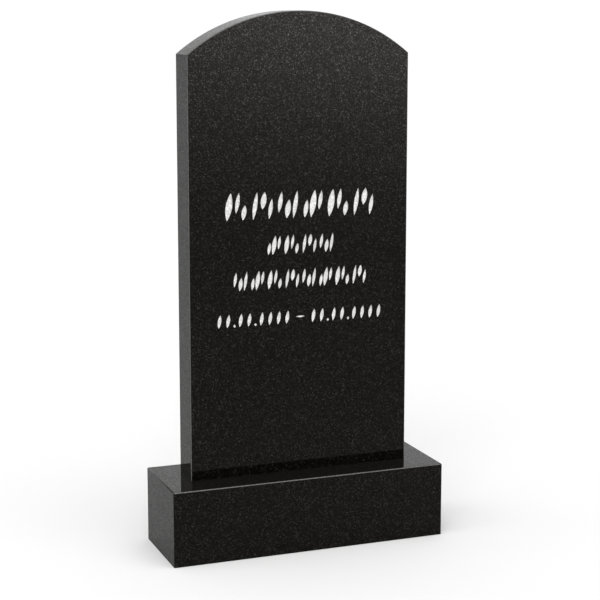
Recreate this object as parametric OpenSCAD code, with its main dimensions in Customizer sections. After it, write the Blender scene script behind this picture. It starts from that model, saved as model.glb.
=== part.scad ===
// Upright headstone: an arch-topped slab of polished stone standing on a block plinth.
// Millimetres, +Z up. The origin is the middle of the plinth's underside, and -Y is the front.

/* [Slab] */
// Width of the slab
slab_width = 500; // [430:10:700]
// Thickness of the slab, front to back
slab_thickness = 80; // [40:5:150]
// Height of the slab from its foot to the crown of the arch
slab_height = 995; // [800:5:1400]
// Height of the crown above the shoulders
arch_rise = 90; // [40:5:200]

/* [Plinth] */
// Height of the plinth
plinth_height = 163; // [80:1:300]
// Bare top of the plinth left at each side of the slab
side_ledge = 60; // [20:1:120]
// Bare top of the plinth left in front of the slab
front_ledge = 70; // [20:1:150]
// Bare top of the plinth left behind the slab
rear_ledge = 55; // [20:1:150]

/* [Edges] */
// Leg of the 45 degree arris taken off every polished edge
arris = 2; // [0.5:0.1:6]

/* [Strokes] */
// Depth of the strokes cut in the slab's front
stroke_depth = 1.5; // [0.5:0.1:4]
// Lean of the strokes to the right, in degrees
stroke_lean = 9; // [0:1:20]
// Number of groups of strokes in each of the three upper rows
row_groups = [6, 4, 8]; // [1:1:8]
// Distance between neighbouring groups in each upper row
row_pitches = [58, 40, 39]; // [20:1:60]
// Height of each upper row
row_heights = [60, 42, 42]; // [20:1:70]
// Distance from the crown down to the middle of each upper row
row_drops = [409, 495, 569]; // [300:1:700]
// Height of the lowest row
tally_height = 29; // [15:1:50]
// Width of a stroke in the lowest row
tally_width = 8; // [2:0.5:12]
// Distance between neighbouring strokes in the lowest row
tally_pitch = 19.5; // [12:0.5:20]
// Size of the lozenges in the lowest row, corner to corner
lozenge_size = 6.5; // [2:0.5:8]
// Length of the dash in the middle of the lowest row
dash_length = 19.5; // [8:0.5:24]
// Width of the dash
dash_width = 4; // [1:0.5:6]
// Distance from the crown down to the middle of the lowest row
tally_drop = 653; // [500:1:750]

/* [Hidden] */
$fn = 180;

// Past a face that is cut, so that no two faces coincide
over = 5;

// The arris of the arch has run out into the slab's sides this far below the shoulders
arris_runs_out = 10;

plinth_length = slab_width + 2 * side_ledge;
plinth_depth = front_ledge + slab_thickness + rear_ledge;
slab_front = front_ledge - plinth_depth / 2;
slab_middle = slab_front + slab_thickness / 2;
crown = plinth_height + slab_height;
side_height = slab_height - arch_rise;

// The arch is one arc that meets the slab's two sides at the shoulders
arch_radius = (pow(slab_width / 2, 2) + pow(arch_rise, 2)) / (2 * arch_rise);

// Strokes of each kind of group. A stroke is its place across the group as a share of the
// group's pitch, then its place up the row, its length and its width as shares of the row's height
GROUPS = [
    [[-0.28, 0.00, 1.00, 0.24], [0.05, 0.13, 0.74, 0.15], [0.30, -0.22, 0.54, 0.18]],
    [[-0.28, -0.17, 0.64, 0.17], [0.00, 0.00, 1.00, 0.23], [0.29, 0.12, 0.70, 0.15]],
    [[-0.29, 0.10, 0.76, 0.16], [0.01, -0.15, 0.68, 0.21], [0.30, 0.00, 1.00, 0.16]],
    [[-0.27, 0.00, 1.00, 0.16], [0.06, 0.18, 0.62, 0.21], [0.33, -0.12, 0.74, 0.15]],
];

// Step through GROUPS from one group of a row to the next, so that neighbours differ
group_step = 3;

// Lowest row, from the left: 1 is a leaning stroke, 0 a small lozenge, 2 a level dash
TALLY = [1, 1, 0, 1, 1, 0, 1, 1, 1, 1, 2, 1, 1, 0, 1, 1, 0, 1, 1, 1, 1];
lozenge_room = lozenge_size + 2;
dash_room = 2.1 * tally_pitch;

function room(kind) = kind == 1 ? tally_pitch : kind == 0 ? lozenge_room : dash_room;
function room_before(i) = i == 0 ? 0 : room_before(i - 1) + room(TALLY[i - 1]);

tally_length = room_before(len(TALLY));

// A rectangle with its four corners cut off at 45 degrees
module chamfered_rectangle(width, depth, leg) {
    x = width / 2;
    y = depth / 2;
    polygon([
        [leg - x, -y], [x - leg, -y], [x, leg - y], [x, y - leg],
        [x - leg, y], [leg - x, y], [-x, y - leg], [-x, leg - y],
    ]);
}

// A rectangle from the origin upwards with its two top corners cut off at 45 degrees
module chamfered_top(width, height, leg) {
    x = width / 2;
    polygon([[-x, -over], [x, -over], [x, height - leg], [x - leg, height], [leg - x, height],
        [-x, height - leg]]);
}

// A pointed stroke, the shape between two equal arcs
module stroke_outline(length, width) {
    radius = (pow(length, 2) + pow(width, 2)) / (4 * width);
    intersection() {
        translate([radius - width / 2, 0]) circle(r = radius);
        translate([width / 2 - radius, 0]) circle(r = radius);
    }
}

module leaning_stroke(length, width) {
    rotate([0, 0, -stroke_lean]) stroke_outline(length, width);
}

// Cuts its outline into the slab's front, with the outline's middle at x across and z up
module cut_in_front(x, z) {
    translate([x, slab_front + stroke_depth, z])
        rotate([90, 0, 0])
            linear_extrude(height = stroke_depth + over)
                children();
}

// One upper row of groups, centred on the slab
module stroke_row(row) {
    pitch = row_pitches[row];
    height = row_heights[row];
    last = row_groups[row] - 1;
    for (i = [0:last], stroke = GROUPS[(group_step * i + row) % len(GROUPS)]) {
        x = (i - last / 2 + stroke[0]) * pitch;
        z = crown - row_drops[row] + stroke[1] * height;
        cut_in_front(x, z) leaning_stroke(stroke[2] * height, stroke[3] * height);
    }
}

// One mark of the lowest row
module tally_mark(kind) {
    if (kind == 1) leaning_stroke(tally_height, tally_width);
    if (kind == 0) rotate([0, 0, 45]) square(lozenge_size / sqrt(2), center = true);
    if (kind == 2) rotate([0, 0, 90]) stroke_outline(dash_length, dash_width);
}

// The lowest row, centred on the slab, with its lozenges on the row's foot
module tally_row() {
    for (i = [0:len(TALLY) - 1]) {
        kind = TALLY[i];
        sink = kind == 0 ? (lozenge_size - tally_height) / 2 : 0;
        x = room_before(i) + room(kind) / 2 - tally_length / 2;
        cut_in_front(x, crown - tally_drop + sink) tally_mark(kind);
    }
}

// Everything under the arch, with the arris along the arch's front and rear edges
module under_arch() {
    half = slab_thickness / 2;
    rim = arch_radius - arris - over;
    translate([0, slab_middle, crown - arch_radius])
        rotate([90, 0, 0])
            rotate_extrude()
                polygon([[0, -half - over], [rim, -half - over], [arch_radius, arris - half],
                    [arch_radius, half - arris], [rim, half + over], [0, half + over]]);
    translate([-slab_width / 2 - over, slab_front - over, plinth_height - over])
        cube([slab_width + 2 * over, slab_thickness + 2 * over, side_height - arris_runs_out + over]);
}

module headstone_slab() {
    color("#2b2b2a")
        difference() {
            intersection() {
                translate([0, slab_middle, plinth_height])
                    linear_extrude(height = slab_height + over)
                        chamfered_rectangle(slab_width, slab_thickness, arris);
                under_arch();
            }
            for (row = [0:len(row_groups) - 1]) stroke_row(row);
            tally_row();
        }
}

module plinth() {
    color("#333332")
        intersection() {
            linear_extrude(height = plinth_height + over)
                chamfered_rectangle(plinth_length, plinth_depth, arris);
            translate([0, plinth_depth, 0])
                rotate([90, 0, 0])
                    linear_extrude(height = 2 * plinth_depth)
                        chamfered_top(plinth_length, plinth_height, arris);
            translate([-plinth_length, 0, 0])
                rotate([90, 0, 90])
                    linear_extrude(height = 2 * plinth_length)
                        chamfered_top(plinth_depth, plinth_height, arris);
        }
}

headstone_slab();
plinth();
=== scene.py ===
"""Upright headstone: an arch-topped slab of polished black stone standing on a block plinth.

Everything is in metres. +Z is up, -Y is the front, and the origin is the middle of the plinth's
underside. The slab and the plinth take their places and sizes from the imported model.
"""

import logging
import math
from collections.abc import Iterator
from dataclasses import dataclass, replace
from enum import Enum, IntEnum

import bmesh
import bpy
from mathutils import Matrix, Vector
from mathutils.geometry import delaunay_2d_cdt


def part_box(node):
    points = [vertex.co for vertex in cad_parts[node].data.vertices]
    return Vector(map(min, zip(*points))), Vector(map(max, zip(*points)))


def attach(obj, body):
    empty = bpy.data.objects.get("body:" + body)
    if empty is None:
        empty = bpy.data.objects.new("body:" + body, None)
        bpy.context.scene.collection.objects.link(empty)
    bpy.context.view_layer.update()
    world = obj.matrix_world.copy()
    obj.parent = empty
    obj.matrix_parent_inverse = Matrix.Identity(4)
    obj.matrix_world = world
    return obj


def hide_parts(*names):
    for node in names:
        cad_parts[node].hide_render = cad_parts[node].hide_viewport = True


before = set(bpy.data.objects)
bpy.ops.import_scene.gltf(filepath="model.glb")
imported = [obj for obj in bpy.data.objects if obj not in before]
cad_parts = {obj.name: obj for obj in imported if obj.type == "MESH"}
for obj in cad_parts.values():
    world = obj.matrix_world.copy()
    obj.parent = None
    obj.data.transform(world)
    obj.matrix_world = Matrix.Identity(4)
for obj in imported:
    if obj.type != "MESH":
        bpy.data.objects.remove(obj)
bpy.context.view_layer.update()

log = logging.getLogger("headstone")

Colour = tuple[float, float, float]
Point = tuple[float, float]

BODY = "root"
MM = 0.001
# Faces that meet at more than this angle have a crisp edge between them
CRISP = math.radians(30)


# ---------------------------------------------------------------------------------------------
# Shader trees
# ---------------------------------------------------------------------------------------------


class Value:
    """A number in a shader tree that takes part in Python arithmetic."""

    def __init__(self, graph: "Graph", socket: bpy.types.NodeSocket) -> None:
        """Wraps a socket.

        Args:
            graph: the tree that the socket is in.
            socket: the output that holds the number.
        """
        self.graph = graph
        self.socket = socket

    def _maths(self, operation: str, first: "Value | float", second: "Value | float") -> "Value":
        """Adds one Math node.

        Args:
            operation: the node's operation.
            first: the left operand.
            second: the right operand.

        Returns:
            The result.
        """
        return self.graph.value("ShaderNodeMath", {"operation": operation}, {0: first, 1: second})

    def __add__(self, other: "Value | float") -> "Value":
        """Adds other to this value."""
        return self._maths("ADD", self, other)

    def __radd__(self, other: float) -> "Value":
        """Adds this value to a plain number."""
        return self._maths("ADD", other, self)

    def __sub__(self, other: "Value | float") -> "Value":
        """Takes other from this value."""
        return self._maths("SUBTRACT", self, other)

    def __rsub__(self, other: float) -> "Value":
        """Takes this value from a plain number."""
        return self._maths("SUBTRACT", other, self)

    def __mul__(self, other: "Value | float") -> "Value":
        """Multiplies this value by other."""
        return self._maths("MULTIPLY", self, other)

    def __rmul__(self, other: float) -> "Value":
        """Multiplies a plain number by this value."""
        return self._maths("MULTIPLY", other, self)

    def ramp(self, low: float, high: float) -> "Value":
        """Rises smoothly from 0 where this value is low to 1 where it is high.

        Args:
            low: where the result leaves 0.
            high: where the result reaches 1.

        Returns:
            The result, from 0 to 1.
        """
        return self.graph.value(
            "ShaderNodeMapRange",
            {"interpolation_type": "SMOOTHSTEP"},
            {"Value": self, "From Min": low, "From Max": high},
        )


class Graph:
    """The node tree of one material or world, with one method that adds any node."""

    def __init__(self, tree: bpy.types.NodeTree) -> None:
        """Empties a tree, ready for new nodes."""
        self.tree = tree
        self.tree.nodes.clear()

    def node(
        self, kind: str, settings: dict | None = None, sockets: dict | None = None
    ) -> bpy.types.Node:
        """Adds one node.

        Args:
            kind: the node's type.
            settings: its properties, set before its sockets.
            sockets: a value or a link for each socket, by name or number.

        Returns:
            The new node.
        """
        made = self.tree.nodes.new(kind)
        for name, setting in (settings or {}).items():
            setattr(made, name, setting)
        for key, given in (sockets or {}).items():
            source = given.socket if isinstance(given, Value) else given
            if isinstance(source, bpy.types.NodeSocket):
                self.tree.links.new(source, made.inputs[key])
            elif isinstance(source, tuple) and made.inputs[key].type == "RGBA":
                made.inputs[key].default_value = (*source, 1.0)
            else:
                made.inputs[key].default_value = source
        return made

    def value(
        self,
        kind: str,
        settings: dict | None = None,
        sockets: dict | None = None,
        output: int | str = 0,
    ) -> Value:
        """Adds one node and wraps one of its outputs.

        Args:
            kind: the node's type.
            settings: its properties.
            sockets: a value or a link for each socket.
            output: the output to wrap, by name or number.

        Returns:
            The output as a value.
        """
        return Value(self, self.node(kind, settings, sockets).outputs[output])

    def mixed(
        self,
        share: Value,
        first: Colour | bpy.types.NodeSocket,
        second: Colour | bpy.types.NodeSocket,
    ) -> bpy.types.NodeSocket:
        """Mixes two colours.

        Args:
            share: how much of the second colour shows, from 0 to 1.
            first: the colour at share 0.
            second: the colour at share 1.

        Returns:
            The socket that holds the mixed colour.
        """
        # A Mix node's colour inputs are its sockets 6 and 7, and its colour output is number 2
        sockets = {0: share, 6: first, 7: second}
        return self.node("ShaderNodeMix", {"data_type": "RGBA"}, sockets).outputs[2]


# ---------------------------------------------------------------------------------------------
# Finishes
# ---------------------------------------------------------------------------------------------


class Face(IntEnum):
    """The finishes of a block's faces, in the order of its material slots."""

    POLISHED = 0
    # Eased arrises, lighter: partly a matte arris, partly a painted highlight along the edge
    EASED_HIGHLIGHT = 1
    # The plinth's top, painted lighter as painted light from above
    PAINTED_LIGHT_LEDGE = 2
    HONED = 3
    SAWN = 4
    CUT = 5


@dataclass(frozen=True)
class Grain:
    """The crystals of the stone, the same through the whole block, whatever finish shows them.

    Attributes:
        crystal: size of a crystal.
        speck: size of the finest specks.
        cloud: size of the faint lighter and darker patches.
        cloud_detail: how many finer sizes of patch they are made up of.
        stray: how far a crystal's outline strays from a plain cell.
        faintest: how much of its colour the faintest light crystal shows.
        spark: how much of its colour the brightest light speck shows.
        speck_relief: height of a speck's relief as a share of a crystal's.
    """

    crystal: float = 1.7 * MM
    speck: float = 0.7 * MM
    cloud: float = 60 * MM
    cloud_detail: float = 3.0
    stray: float = 0.9 * MM
    faintest: float = 0.3
    spark: float = 0.4
    speck_relief: float = 0.5

    def place(self, graph: Graph) -> bpy.types.NodeSocket:
        """Gives the place in the block, strayed a little so that no crystal has a plain outline.

        Args:
            graph: the material's tree.

        Returns:
            The socket that holds the place.
        """
        place = graph.node("ShaderNodeTexCoord").outputs["Object"]
        stir = graph.node("ShaderNodeTexNoise", None, {"Vector": place, "Scale": 1 / self.crystal})
        either_way = graph.node(
            "ShaderNodeVectorMath", {"operation": "SUBTRACT"}, {0: stir.outputs["Color"], 1: (0.5,) * 3}
        )
        shift = graph.node(
            "ShaderNodeVectorMath",
            {"operation": "SCALE"},
            {0: either_way.outputs[0], "Scale": self.stray},
        )
        return graph.node(
            "ShaderNodeVectorMath", {"operation": "ADD"}, {0: place, 1: shift.outputs[0]}
        ).outputs[0]

    def chance(self, graph: Graph, place: bpy.types.NodeSocket, size: float) -> tuple[Value, Value]:
        """Draws two random numbers for each crystal of one size.

        Args:
            graph: the material's tree.
            place: the place in the block.
            size: size of the crystals.

        Returns:
            Two independent numbers from 0 to 1, each the same all over a crystal.
        """
        cells = graph.node("ShaderNodeTexVoronoi", None, {"Vector": place, "Scale": 1 / size})
        parts = graph.node("ShaderNodeSeparateColor", None, {0: cells.outputs["Color"]})
        return Value(graph, parts.outputs[0]), Value(graph, parts.outputs[1])

    def clouds(self, graph: Graph) -> Value:
        """Gives the faint patches, from 0 to 1.

        Args:
            graph: the material's tree.

        Returns:
            How light the patch is.
        """
        sockets = {"Scale": 1 / self.cloud, "Detail": self.cloud_detail}
        return graph.value("ShaderNodeTexNoise", None, sockets)


@dataclass(frozen=True)
class Finish:
    """A finish of the stone: its colours, its gloss and the relief that the tool leaves.

    Attributes:
        name: the material's name.
        ground: colour of the dark crystals.
        paler: colour that the ground reaches in its lighter crystals.
        fleck: colour of the light crystals.
        fleck_share: share of the crystals that are light.
        relief: height of the relief between crystals.
        roughness: roughness of the ground under any polish.
        fleck_roughness: roughness of a light crystal.
        specular: strength of the ground's own gloss.
        polish: weight of the polish on the crystals that take it worst, and on those that take it best.
        slanting_polish: the same, seen along the face.
        polish_ior: refractive index of the polish.
        polish_roughness: roughness of the polish.
        grain: the crystals.
    """

    name: str
    ground: Colour
    paler: Colour
    fleck: Colour
    fleck_share: float
    relief: float
    roughness: float = 0.5
    fleck_roughness: float = 0.6
    specular: float = 0.4
    polish: tuple[float, float] = (0.0, 0.0)
    slanting_polish: tuple[float, float] = (0.29, 0.68)
    polish_ior: float = 1.44
    polish_roughness: float = 0.03
    grain: Grain = Grain()

    def tooling(self, graph: Graph) -> Value | float:
        """Gives the relief that a tool leaves over the crystals. A plain finish has none."""
        return 0.0

    def gloss(self, graph: Graph, coarse: Value, depth: Value) -> Value | float:
        """Gives the weight of the polish. Seen straight on, few crystals take it fully.

        Args:
            graph: the material's tree.
            coarse: a random number for each crystal, from 0 to 1.
            depth: another.

        Returns:
            The weight.
        """
        dull, bright = self.polish
        if bright == 0:
            return 0.0
        take = coarse * depth
        straight = dull + (bright - dull) * (take * take)
        worst, best = self.slanting_polish
        slanting = worst + (best - worst) * depth
        slant = graph.value("ShaderNodeLayerWeight", output="Facing")
        return straight + (slanting - straight) * slant

    def material(self) -> bpy.types.Material:
        """Makes the material.

        Returns:
            The new material.
        """
        made = bpy.data.materials.new(self.name)
        made.use_nodes = True
        graph = Graph(made.node_tree)
        grain = self.grain
        place = grain.place(graph)
        coarse, depth = grain.chance(graph, place, grain.crystal)
        fine, glint = grain.chance(graph, place, grain.speck)
        light = coarse.ramp(1 - self.fleck_share, 1.0)
        sparks = fine.ramp(1 - self.fleck_share, 1.0) * glint
        flecks = light * (grain.faintest + (1 - grain.faintest) * depth) + grain.spark * sparks
        ground = graph.mixed(depth * grain.clouds(graph), self.ground, self.paler)
        relief = depth + grain.speck_relief * glint + self.tooling(graph)
        bump = graph.node(
            "ShaderNodeBump", None, {"Strength": 1.0, "Distance": self.relief, "Height": relief}
        )
        shader = graph.node(
            "ShaderNodeBsdfPrincipled",
            None,
            {
                "Base Color": graph.mixed(flecks, ground, self.fleck),
                "Roughness": self.roughness + (self.fleck_roughness - self.roughness) * flecks,
                "Specular IOR Level": self.specular,
                "Coat Weight": self.gloss(graph, coarse, depth),
                "Coat IOR": self.polish_ior,
                "Coat Roughness": self.polish_roughness,
                "Normal": bump.outputs[0],
            },
        )
        graph.node("ShaderNodeOutputMaterial", None, {0: shader.outputs[0]})
        return made


@dataclass(frozen=True)
class BrushedFinish(Finish):
    """A finish with fine straight marks from a saw or a brush.

    Attributes:
        mark: distance between marks.
        along: how fast the marks change along X, Y and Z, from 1 down to 0 for endless marks.
        mark_depth: height of the marks as a share of the relief.
    """

    mark: float = 1.2 * MM
    along: tuple[float, float, float] = (0.02, 1.0, 1.0)
    mark_depth: float = 1.0

    def tooling(self, graph: Graph) -> Value | float:
        """Gives the marks.

        Args:
            graph: the material's tree.

        Returns:
            Their height.
        """
        place = graph.node("ShaderNodeTexCoord").outputs["Object"]
        drawn = graph.node("ShaderNodeVectorMath", {"operation": "MULTIPLY"}, {0: place, 1: self.along})
        sockets = {"Vector": drawn.outputs[0], "Scale": 1 / self.mark}
        return self.mark_depth * graph.value("ShaderNodeTexNoise", None, sockets)


POLISHED = Finish(
    name="polished_stone",
    ground=(0.0006, 0.0003, 0.0001),
    paler=(0.0011, 0.0007, 0.0004),
    fleck=(0.015, 0.013, 0.0105),
    fleck_share=0.20,
    relief=0.002 * MM,
    specular=0.0,
    polish=(0.145, 1.0),
)
# The top of the plinth is painted lighter than the other polished faces: painted light, standing in for
# the light from above that falls on it
PAINTED_LIGHT_LEDGE = replace(
    POLISHED,
    name="polished_ledge_painted_light",
    ground=(0.0031, 0.0029, 0.0026),
    paler=(0.0044, 0.0041, 0.0037),
)
# A lighter matte finish for the eased arrises: partly a real matte arris, partly a painted highlight
# that stands in for the bright line of light along the edge
EASED_HIGHLIGHT = Finish(
    name="eased_arris_painted_highlight",
    ground=(0.034, 0.034, 0.033),
    paler=(0.05, 0.05, 0.049),
    fleck=(0.084, 0.084, 0.082),
    fleck_share=0.35,
    relief=0.02 * MM,
)
HONED = BrushedFinish(
    name="honed_stone",
    ground=(0.012, 0.012, 0.0115),
    paler=(0.022, 0.0215, 0.0205),
    fleck=(0.075, 0.073, 0.068),
    fleck_share=0.32,
    relief=0.02 * MM,
    roughness=0.42,
    fleck_roughness=0.5,
)
SAWN = BrushedFinish(
    name="sawn_stone",
    ground=(0.05, 0.05, 0.048),
    paler=(0.075, 0.074, 0.071),
    fleck=(0.16, 0.157, 0.15),
    fleck_share=0.35,
    relief=0.12 * MM,
    roughness=0.8,
    fleck_roughness=0.85,
    mark=3.5 * MM,
    mark_depth=2.0,
)
CUT = BrushedFinish(
    name="frosted_cut_stone",
    ground=(0.33, 0.33, 0.326),
    paler=(0.45, 0.45, 0.445),
    fleck=(0.70, 0.70, 0.69),
    fleck_share=0.45,
    relief=0.08 * MM,
    roughness=0.85,
    fleck_roughness=0.6,
    mark=0.8 * MM,
    along=(1.0, 1.0, 0.08),
)


# ---------------------------------------------------------------------------------------------
# The strokes
# ---------------------------------------------------------------------------------------------


class Outline(Enum):
    """The outlines of a cut mark."""

    LEAF = "two arcs that meet in points"
    LOZENGE = "four straight sides"


@dataclass(frozen=True)
class Stroke:
    """One mark cut in the slab's front, with walls that slope in to a nearly flat floor.

    Attributes:
        x: place of its middle across the slab.
        z: height of its middle.
        length: length from point to point.
        width: width at the middle.
        lean: lean of its length from upright, to the right, in radians.
        outline: its outline.
        steps: stretches that its length is made in.
        wall: how far a wall slopes in between the face and the floor.
        wall_share: the most of the half width that a wall takes.
        floor_side: depth of the floor beside the walls, as a share of its depth in the middle.
    """

    x: float
    z: float
    length: float
    width: float
    lean: float = 0.0
    outline: Outline = Outline.LEAF
    steps: int = 20
    wall: float = 0.5 * MM
    wall_share: float = 0.4
    floor_side: float = 0.92

    def half_width(self, along: float) -> float:
        """Gives half the width at one place.

        Args:
            along: the place, from -1 at the lower point to 1 at the upper.

        Returns:
            Half the width there.
        """
        if self.outline is Outline.LOZENGE:
            return self.width / 2 * (1 - abs(along))
        radius = (self.length**2 + self.width**2) / (4 * self.width)
        across = math.sqrt(radius**2 - (along * self.length / 2) ** 2)
        return max(0.0, across - (radius - self.width / 2))

    def at(self, across: float, along: float) -> Point:
        """Turns a place in the stroke into a place on the slab's face.

        Args:
            across: distance to the right of the stroke's middle line.
            along: place along it, from -1 to 1.

        Returns:
            X and Z on the slab.
        """
        up = along * self.length / 2
        sine, cosine = math.sin(self.lean), math.cos(self.lean)
        return self.x + across * cosine + up * sine, self.z - across * sine + up * cosine

    def stations(self) -> list[float]:
        """Gives the places along the stroke between its two points, from the lower one up."""
        count = 2 if self.outline is Outline.LOZENGE else self.steps
        return [2 * i / count - 1 for i in range(1, count)]

    def rim(self) -> list[Point]:
        """Gives its outline on the face.

        Returns:
            The lower point, the right side going up, the upper point, and the left side going down.
        """
        places = self.stations()
        right = [self.at(self.half_width(t), t) for t in places]
        left = [self.at(-self.half_width(t), t) for t in reversed(places)]
        return [self.at(0.0, -1.0), *right, self.at(0.0, 1.0), *left]

    def cut(self, bm: bmesh.types.BMesh, rim: list[bmesh.types.BMVert], depth: float) -> None:
        """Makes the walls and the floor inside a rim that is already in the mesh.

        Args:
            bm: the mesh.
            rim: the vertices of the rim, in the order of rim().
            depth: depth of the floor at the stroke's widest place.
        """
        places = self.stations()
        count = len(places)
        right = rim[1 : count + 1]
        left = rim[: count + 1 : -1]
        face_y = rim[0].co.y
        rows = []
        for t, start, end in zip(places, left, right):
            half = self.half_width(t)
            slope = min(self.wall, self.wall_share * half)
            floor = depth * slope / self.wall
            row = [start]
            profile = ((slope - half, self.floor_side), (0.0, 1.0), (half - slope, self.floor_side))
            for across, share in profile:
                x, z = self.at(across, t)
                row.append(bm.verts.new((x, face_y + floor * share, z)))
            row.append(end)
            rows.append(row)
        made = [bm.faces.new((rim[0], b, a)) for a, b in zip(rows[0], rows[0][1:])]
        made += [bm.faces.new((rim[count + 1], a, b)) for a, b in zip(rows[-1], rows[-1][1:])]
        for low, high in zip(rows, rows[1:]):
            for i in range(len(low) - 1):
                made.append(bm.faces.new((low[i], low[i + 1], high[i + 1], high[i])))
        for face in made:
            face.material_index = Face.CUT
            face.smooth = False


@dataclass(frozen=True)
class Inscription:
    """Four rows of marks in the place of a name and dates. The marks have no meaning.

    Attributes:
        crown: height of the slab's crown, which the rows are measured from.
        depth: depth of the cuts.
        lean: lean of the strokes to the right, in radians.
        row_groups: number of groups of strokes in each upper row.
        row_pitches: distance between neighbouring groups.
        row_heights: height of each upper row.
        row_drops: distance from the crown down to the middle of each upper row.
        tally_height: height of the lowest row.
        tally_width: width of a stroke in it.
        tally_pitch: distance between neighbouring strokes in it.
        tally_drop: distance from the crown down to its middle.
        lozenge: size of its lozenges.
        lozenge_gap: bare face that goes with each lozenge.
        dash_length: length of its dash.
        dash_width: width of its dash.
        dash_room: how many strokes' room the dash has.
    """

    crown: float
    depth: float = 1.5 * MM
    lean: float = math.radians(9)
    row_groups: tuple[int, ...] = (6, 4, 8)
    row_pitches: tuple[float, ...] = (58 * MM, 40 * MM, 39 * MM)
    row_heights: tuple[float, ...] = (60 * MM, 42 * MM, 42 * MM)
    row_drops: tuple[float, ...] = (409 * MM, 495 * MM, 569 * MM)
    tally_height: float = 29 * MM
    tally_width: float = 8 * MM
    tally_pitch: float = 19.5 * MM
    tally_drop: float = 653 * MM
    lozenge: float = 6.5 * MM
    lozenge_gap: float = 2 * MM
    dash_length: float = 19.5 * MM
    dash_width: float = 4 * MM
    dash_room: float = 2.1

    # Strokes of each kind of group: place across it as a share of the group's pitch, then place
    # up the row, length and width as shares of the row's height
    GROUPS = (
        ((-0.28, 0.00, 1.00, 0.24), (0.05, 0.13, 0.74, 0.15), (0.30, -0.22, 0.54, 0.18)),
        ((-0.28, -0.17, 0.64, 0.17), (0.00, 0.00, 1.00, 0.23), (0.29, 0.12, 0.70, 0.15)),
        ((-0.29, 0.10, 0.76, 0.16), (0.01, -0.15, 0.68, 0.21), (0.30, 0.00, 1.00, 0.16)),
        ((-0.27, 0.00, 1.00, 0.16), (0.06, 0.18, 0.62, 0.21), (0.33, -0.12, 0.74, 0.15)),
    )
    GROUP_STEP = 3
    # The lowest row from the left: | a stroke, . a lozenge, - a dash
    TALLY = "||.||.||||-||.||.||||"

    def upper_rows(self) -> Iterator[Stroke]:
        """Makes the strokes of the three upper rows.

        Returns:
            The strokes, from the top row down and from the left.
        """
        rows = zip(self.row_groups, self.row_pitches, self.row_heights, self.row_drops)
        for row, (groups, pitch, height, drop) in enumerate(rows):
            for i in range(groups):
                group = self.GROUPS[(self.GROUP_STEP * i + row) % len(self.GROUPS)]
                for across, up, length, width in group:
                    yield Stroke(
                        x=(i - (groups - 1) / 2 + across) * pitch,
                        z=self.crown - drop + up * height,
                        length=length * height,
                        width=width * height,
                        lean=self.lean,
                    )

    def lowest_row(self) -> Iterator[Stroke]:
        """Makes the marks of the lowest row.

        Returns:
            The marks, from the left.
        """
        rooms = {
            "|": self.tally_pitch,
            ".": self.lozenge + self.lozenge_gap,
            "-": self.dash_room * self.tally_pitch,
        }
        start = -sum(rooms[mark] for mark in self.TALLY) / 2
        level = self.crown - self.tally_drop
        for mark in self.TALLY:
            x = start + rooms[mark] / 2
            start += rooms[mark]
            if mark == "|":
                yield Stroke(x, level, self.tally_height, self.tally_width, self.lean)
            elif mark == ".":
                foot = level + (self.lozenge - self.tally_height) / 2
                yield Stroke(x, foot, self.lozenge, self.lozenge, outline=Outline.LOZENGE)
            else:
                yield Stroke(x, level, self.dash_length, self.dash_width, math.pi / 2)

    def strokes(self) -> list[Stroke]:
        """Gives every mark."""
        return [*self.upper_rows(), *self.lowest_row()]


# ---------------------------------------------------------------------------------------------
# The stones
# ---------------------------------------------------------------------------------------------


def arris_profile(leg: float, steps: int, flatness: float) -> list[Point]:
    """Gives the profile of an arris between two faces, a bevel with softened corners.

    Args:
        leg: how far the arris reaches along each face.
        steps: stretches that it is made in.
        flatness: 1 for a round arris, towards 2 for a flat bevel.

    Returns:
        Pairs of the distance still to go to each face's plane, from the first face to the second.
    """
    turns = [math.pi / 2 * i / steps for i in range(steps + 1)]
    return [
        (leg * (1 - math.sin(turn) ** flatness), leg * (1 - math.cos(turn) ** flatness))
        for turn in turns
    ]


def finish_mesh(name: str, bm: bmesh.types.BMesh) -> bpy.types.Object:
    """Turns a finished bmesh into an object, with its corners kept crisp in the shading.

    Args:
        name: the object's name.
        bm: the mesh, which is freed.

    Returns:
        The object, in the scene.
    """
    bmesh.ops.recalc_face_normals(bm, faces=bm.faces)
    for edge in bm.edges:
        edge.smooth = edge.calc_face_angle() < CRISP
    mesh = bpy.data.meshes.new(name)
    bm.to_mesh(mesh)
    bm.free()
    piece = bpy.data.objects.new(name, mesh)
    bpy.context.scene.collection.objects.link(piece)
    return piece


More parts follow.
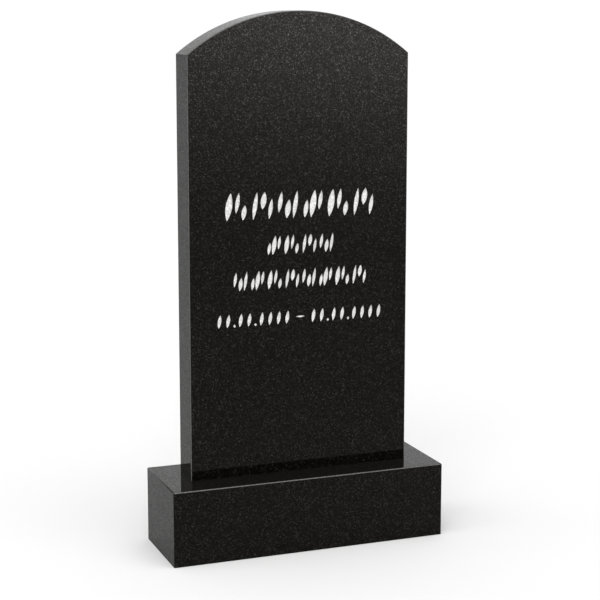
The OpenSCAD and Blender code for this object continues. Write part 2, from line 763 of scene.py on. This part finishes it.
@dataclass
class Slab:
    """The upright slab: straight sides, one arc for its top, and the strokes in its front.

    Attributes:
        low: lowest corner of its box.
        high: highest corner of its box.
        arch_rise: height of the crown above the shoulders.
        arris: how far the arris reaches along each face.
        arris_steps: stretches that the arris is made in.
        arris_flatness: 1 for a round arris, towards 2 for a flat bevel.
        foot_arris: how far the arris at the foot of the front and the back reaches.
        arch_steps: stretches that the arch is made in.
        side_steps: stretches that each straight side is made in.
        margin: width of the strip beside an arris that keeps the wide faces truly flat.
    """

    low: Vector
    high: Vector
    arch_rise: float = 90 * MM
    arris: float = 2 * MM
    arris_steps: int = 5
    arris_flatness: float = 1.6
    foot_arris: float = 0.8 * MM
    arch_steps: int = 120
    side_steps: int = 10
    margin: float = 0.3 * MM

    def __post_init__(self) -> None:
        """Works out the arc of the arch."""
        self.half_width = (self.high.x - self.low.x) / 2
        self.radius = (self.half_width**2 + self.arch_rise**2) / (2 * self.arch_rise)
        self.centre = self.high.z - self.radius

    def outline(self, inset: float) -> list[Point]:
        """Gives the slab's outline, drawn in by an inset.

        Args:
            inset: how far inside the true outline it lies.

        Returns:
            Its points from the left foot up, over the arch and down to the right foot.
        """
        half = self.half_width - inset
        radius = self.radius - inset
        turn = math.asin(half / radius)
        shoulder = self.centre + radius * math.cos(turn)
        foot = self.low.z + inset * self.foot_arris / self.arris
        rises = [foot + (shoulder - foot) * i / self.side_steps for i in range(self.side_steps)]
        left = [(-half, z) for z in rises]
        arch = []
        for i in range(self.arch_steps + 1):
            angle = turn * (2 * i / self.arch_steps - 1)
            arch.append((radius * math.sin(angle), self.centre + radius * math.cos(angle)))
        right = [(half, z) for z in reversed(rises)]
        return left + arch + right

    def levels(self) -> list[Point]:
        """Works out where the rings round the slab lie.

        Returns:
            Each ring's inset and its place in Y, from front to back.
        """
        bevel = arris_profile(self.arris, self.arris_steps, self.arris_flatness)
        depths = [(inset, self.low.y + back) for inset, back in bevel]
        depths.append((0.0, self.low.y + self.arris + self.margin))
        middle = self.low.y + self.high.y
        return depths + [(inset, middle - y) for inset, y in reversed(depths)]

    def rings(self, bm: bmesh.types.BMesh) -> list[list[bmesh.types.BMVert]]:
        """Makes the rings and the faces between them.

        Args:
            bm: the mesh.

        Returns:
            The rings, from front to back.
        """
        rings = [
            [bm.verts.new((x, y, z)) for x, z in self.outline(inset)] for inset, y in self.levels()
        ]
        # The middle of the front arris is eased, with a lighter finish that is partly a painted
        # highlight along the edge, and the whole rear arris is honed
        strips = len(rings) - 1
        finishes = [Face.POLISHED] * strips
        finishes[1 : self.arris_steps - 1] = [Face.EASED_HIGHLIGHT] * (self.arris_steps - 2)
        finishes[strips - self.arris_steps :] = [Face.HONED] * self.arris_steps
        for front, back, finish in zip(rings, rings[1:], finishes):
            for i in range(len(front) - 1):
                face = bm.faces.new((front[i], front[i + 1], back[i + 1], back[i]))
                face.smooth = True
                face.material_index = finish
        underside = [ring[0] for ring in rings] + [ring[-1] for ring in reversed(rings)]
        bm.faces.new(underside).material_index = Face.SAWN
        return rings

    def fill(
        self, bm: bmesh.types.BMesh, loops: list[list[bmesh.types.BMVert]], finish: Face
    ) -> None:
        """Makes the front or the back, with triangles inside its outline and outside the strokes.

        Args:
            bm: the mesh.
            loops: the vertices of the outline, and then those of each stroke's rim.
            finish: the finish of the face.
        """
        verts = [vert for loop in loops for vert in loop]
        outlines = []
        for loop in loops:
            first = outlines[-1][-1] + 1 if outlines else 0
            outlines.append(list(range(first, first + len(loop))))
        # The face is filled in millimetres, where rounding does no harm. Each triangle names the
        # outlines that it lies in, and those inside a stroke are left out
        flat = [Vector((vert.co.x / MM, vert.co.z / MM)) for vert in verts]
        inside = 1
        same_point = 1e-4
        _, _, triangles, sources, _, homes = delaunay_2d_cdt(flat, [], outlines, inside, same_point)
        for corners, home in zip(triangles, homes):
            if home == [0]:
                face = bm.faces.new([verts[sources[corner][0]] for corner in corners])
                face.material_index = finish
                face.smooth = False

    def front(
        self, bm: bmesh.types.BMesh, ring: list[bmesh.types.BMVert], strokes: list[Stroke], depth: float
    ) -> None:
        """Makes the front face round the strokes, and cuts them.

        Args:
            bm: the mesh.
            ring: the vertices that bound the face.
            strokes: the strokes to cut.
            depth: their depth.
        """
        y = ring[0].co.y
        rims = [[bm.verts.new((x, y, z)) for x, z in stroke.rim()] for stroke in strokes]
        self.fill(bm, [ring[::-1], *rims], Face.POLISHED)
        for stroke, rim in zip(strokes, rims):
            stroke.cut(bm, rim, depth)

    def build(self, inscription: Inscription) -> bpy.types.Object:
        """Makes the slab.

        Args:
            inscription: the rows of strokes in its front.

        Returns:
            The slab as one closed mesh.
        """
        bm = bmesh.new()
        rings = self.rings(bm)
        self.front(bm, rings[0], inscription.strokes(), inscription.depth)
        self.fill(bm, [rings[-1][::-1]], Face.HONED)
        return finish_mesh("arched_slab", bm)


@dataclass
class Plinth:
    """The block that the slab stands on.

    Attributes:
        low: lowest corner of its box.
        high: highest corner of its box.
        arris: how far the arris reaches along each face.
        arris_steps: stretches that the arris is made in.
        arris_shape: 0.5 for a round arris, down to 0.25 for a flat one.
    """

    low: Vector
    high: Vector
    arris: float = 2 * MM
    arris_steps: int = 5
    arris_shape: float = 0.4

    # A face is level, or turns back, or slopes to the front, where its normal passes these
    LEVEL = 0.9
    TURNED = 0.1
    SLOPED = 0.3
    # The block's own faces have no edge shorter than this many times the arris
    LONG = 10

    def finish(self, normal: Vector) -> Face:
        """Chooses the finish of a face.

        Args:
            normal: the way that the face looks.

        Returns:
            Its finish: sawn underneath, honed behind, eased along the front's top arris with a lighter
            finish that is partly a painted highlight, painted lighter on top as painted light from
            above, and polished everywhere else.
        """
        if normal.z < -self.LEVEL:
            return Face.SAWN
        # A level top gets the finish that is painted lighter, as painted light from above
        if normal.z > self.LEVEL:
            return Face.PAINTED_LIGHT_LEDGE
        if normal.y > self.TURNED:
            return Face.HONED
        # The front's top arris gets the lighter finish, partly a painted highlight
        if normal.y < -self.SLOPED and normal.z > self.SLOPED:
            return Face.EASED_HIGHLIGHT
        return Face.POLISHED

    def build(self) -> bpy.types.Object:
        """Makes the plinth.

        Returns:
            The plinth as one closed mesh.
        """
        bm = bmesh.new()
        bmesh.ops.create_cube(bm, size=1.0)
        middle = (self.low + self.high) / 2
        size = self.high - self.low
        for vert in bm.verts:
            vert.co = middle + Vector(a * b for a, b in zip(vert.co, size))
        worked = [e for e in bm.edges if max(v.co.z for v in e.verts) > self.low.z + self.arris]
        bmesh.ops.bevel(
            bm,
            geom=worked,
            offset=self.arris,
            segments=self.arris_steps,
            profile=self.arris_shape,
            affect="EDGES",
        )
        for face in bm.faces:
            face.smooth = min(edge.calc_length() for edge in face.edges) < self.LONG * self.arris
            face.material_index = self.finish(face.normal)
        return finish_mesh("plinth_block", bm)


class Headstone:
    """The two stones and their finishes."""

    def __init__(self) -> None:
        """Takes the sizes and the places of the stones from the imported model."""
        self.slab = Slab(*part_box("headstone_slab"))
        self.plinth = Plinth(*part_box("plinth"))
        self.inscription = Inscription(crown=self.slab.high.z)
        self.finishes = [finish.material() for finish in (POLISHED, EASED_HIGHLIGHT, PAINTED_LIGHT_LEDGE, HONED, SAWN, CUT)]

    def dress(self, piece: bpy.types.Object, node: str) -> None:
        """Puts the finishes on a stone and sets it in the frame.

        Args:
            piece: the stone.
            node: the name of the solid that it stands for.
        """
        for material in self.finishes:
            piece.data.materials.append(material)
        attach(piece, BODY)
        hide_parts(node)
        log.info("%s: %d faces, stands for %s", piece.name, len(piece.data.polygons), node)

    def build(self) -> None:
        """Makes both stones."""
        self.dress(self.slab.build(self.inscription), "headstone_slab")
        self.dress(self.plinth.build(), "plinth")


# ---------------------------------------------------------------------------------------------
# The studio
# ---------------------------------------------------------------------------------------------


@dataclass(frozen=True)
class SoftLight:
    """A wide soft light from far off, which falls the same on the whole studio.

    Attributes:
        name: its name.
        way: the direction that it comes from.
        spread: its width as seen from the studio, in degrees.
        strength: how bright white paper facing it gets, where the room's own glow is about 1.
    """

    name: str
    way: tuple[float, float, float]
    spread: float
    strength: float

    def build(self) -> None:
        """Makes the light and puts it in the scene."""
        lamp = bpy.data.lights.new(self.name, "SUN")
        lamp.angle = math.radians(self.spread)
        lamp.energy = self.strength * math.pi
        made = bpy.data.objects.new(self.name, lamp)
        made.rotation_euler = Vector(self.way).to_track_quat("Z", "Y").to_euler()
        bpy.context.scene.collection.objects.link(made)


@dataclass(frozen=True)
class Studio:
    """A white floor in a white room under soft light, and the camera.

    Attributes:
        room: colour of the room up to the horizon.
        walls: colour of its walls above the horizon.
        wall_rise: sine of the elevation where the walls' colour starts, and where it is full.
        ceiling: colour of its ceiling.
        ceiling_rise: sine of the elevation where the ceiling starts, and where it is full.
        glow: colour of the wide low light on the front wall.
        glow_rise: sine of the elevation where that light starts, and where it is full.
        glow_fall: sine of the elevation where it starts to fade, and where it has gone.
        glow_side: which way it lies, as a direction along the floor.
        glow_spread: cosine of the angle from there where it starts, and where it is full.
        floor_colour: colour of the floor.
        floor_radius: radius of the floor.
        floor_sides: sides of the floor's outline.
        stand: where the camera stands.
        heading: how far the camera turns from straight ahead to its right, in degrees.
        pitch: how far it looks down, in degrees.
        lens: its focal length in millimetres.
        film: width of its film in millimetres.
        rise: how far its film is shifted, as a share of its width.
        lights: the soft lights, each from its own side.
    """

    room: Colour = (1.02, 1.02, 1.02)
    walls: Colour = (1.5, 1.5, 1.5)
    wall_rise: tuple[float, float] = (-0.02, 0.15)
    ceiling: Colour = (0.25, 0.25, 0.25)
    ceiling_rise: tuple[float, float] = (0.4, 0.7)
    glow: Colour = (10.5, 10.1, 9.6)
    glow_rise: tuple[float, float] = (-0.211, 0.1)
    glow_fall: tuple[float, float] = (0.02, 0.14)
    glow_side: tuple[float, float, float] = (0.67, -0.74, 0.0)
    glow_spread: tuple[float, float] = (0.74, 1.0)
    floor_colour: Colour = (0.503, 0.503, 0.503)
    floor_radius: float = 4.5
    floor_sides: int = 96
    stand: tuple[float, float, float] = (-1.2139, -3.2045, 1.1630)
    heading: float = 20.925
    pitch: float = 8.777
    lens: float = 96.012
    film: float = 36.0
    rise: float = -0.075
    lights: tuple[SoftLight, ...] = (
        SoftLight("overhead_light", (0.0, -0.03, 1.0), 60.0, 0.63),
        SoftLight("front_left_light", (-0.41, -0.71, 0.57), 45.0, 0.64),
        SoftLight("left_light", (-0.82, 0.0, 0.57), 45.0, 0.33),
        SoftLight("front_right_light", (0.25, -0.43, 0.87), 45.0, 0.28),
    )

    def floor(self) -> None:
        """Makes the floor, level with the plinth's underside."""
        made = bpy.data.materials.new("white_floor")
        made.use_nodes = True
        graph = Graph(made.node_tree)
        shader = graph.node(
            "ShaderNodeBsdfPrincipled",
            None,
            {"Base Color": self.floor_colour, "Roughness": 1.0, "Specular IOR Level": 0.0},
        )
        graph.node("ShaderNodeOutputMaterial", None, {0: shader.outputs[0]})
        bm = bmesh.new()
        bmesh.ops.create_circle(bm, cap_ends=True, radius=self.floor_radius, segments=self.floor_sides)
        mesh = bpy.data.meshes.new("floor")
        bm.to_mesh(mesh)
        bm.free()
        mesh.materials.append(made)
        piece = bpy.data.objects.new("floor", mesh)
        bpy.context.scene.collection.objects.link(piece)

    def light(self) -> None:
        """Lights the studio with the room's own glow and the soft lights."""
        world = bpy.data.worlds.new("white_room")
        world.use_nodes = True
        graph = Graph(world.node_tree)
        way = graph.node("ShaderNodeTexCoord").outputs["Generated"]
        height = graph.value("ShaderNodeSeparateXYZ", None, {0: way}, "Z")
        facing = graph.value(
            "ShaderNodeVectorMath", {"operation": "DOT_PRODUCT"}, {0: way, 1: self.glow_side}, "Value"
        )
        rise = height.ramp(*self.glow_rise)
        strip = rise * rise * (1.0 - height.ramp(*self.glow_fall))
        walls = graph.mixed(height.ramp(*self.wall_rise), self.room, self.walls)
        upper = graph.mixed(height.ramp(*self.ceiling_rise), walls, self.ceiling)
        whole = graph.mixed(strip * facing.ramp(*self.glow_spread), upper, self.glow)
        shader = graph.node("ShaderNodeBackground", None, {"Color": whole, "Strength": 1.0})
        graph.node("ShaderNodeOutputWorld", None, {0: shader.outputs[0]})
        bpy.context.scene.world = world
        for lamp in self.lights:
            lamp.build()

    def camera(self) -> None:
        """Sets up the camera."""
        view = bpy.data.cameras.new("camera")
        view.sensor_width = self.film
        view.lens = self.lens
        view.shift_y = self.rise
        made = bpy.data.objects.new("camera", view)
        made.location = self.stand
        made.rotation_euler = (math.radians(90 - self.pitch), 0.0, math.radians(-self.heading))
        bpy.context.scene.collection.objects.link(made)
        bpy.context.scene.camera = made

    def build(self) -> None:
        """Sets up the floor, the light and the camera."""
        self.camera()
        self.floor()
        self.light()
        bpy.context.scene.view_settings.view_transform = "Standard"


def main() -> None:
    """Builds the studio and the headstone."""
    logging.basicConfig(level=logging.INFO, format="%(name)s: %(message)s")
    Studio().build()
    Headstone().build()


if __name__ == "__main__":
    main()
